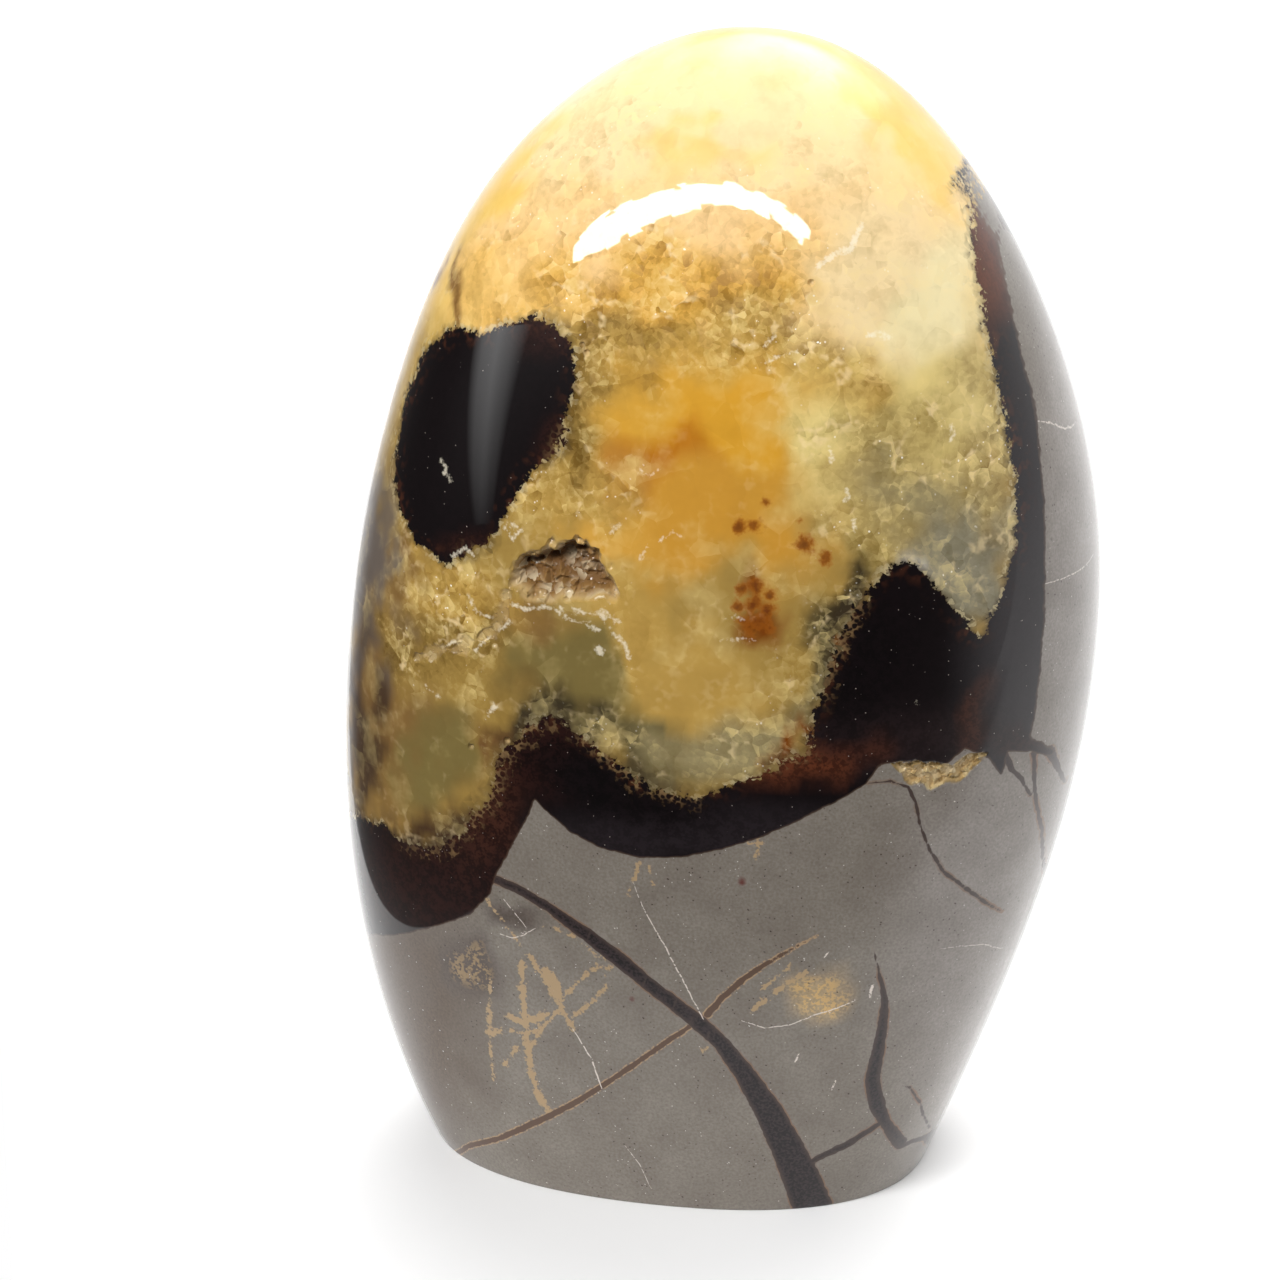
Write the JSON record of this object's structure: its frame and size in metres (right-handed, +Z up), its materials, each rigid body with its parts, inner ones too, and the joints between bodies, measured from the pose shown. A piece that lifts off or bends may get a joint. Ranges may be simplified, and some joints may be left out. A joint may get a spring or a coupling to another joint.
{
  "type": "septarian nodule",
  "caption": "Polished free-standing septarian stone: a rounded form on a flat cut base, with yellow calcite, dark aragonite and grey marl and a small crystal-lined vug.",
  "frame": {"origin": "on the standing plane, under the middle of the stone's outline seen from above", "axes": "+Z up from the flat cut base, -Y the face with the large calcite window, +X to the right seen from that face"},
  "size_m": [0.1166, 0.076, 0.18],
  "materials": {
    "polished_stone": "high polish; honey-yellow calcite above, dark brown aragonite band, grey marl with brown veins below"
  },
  "bodies": {
    "root": {"nodule": "polished_stone"}
  },
  "joints": []
}
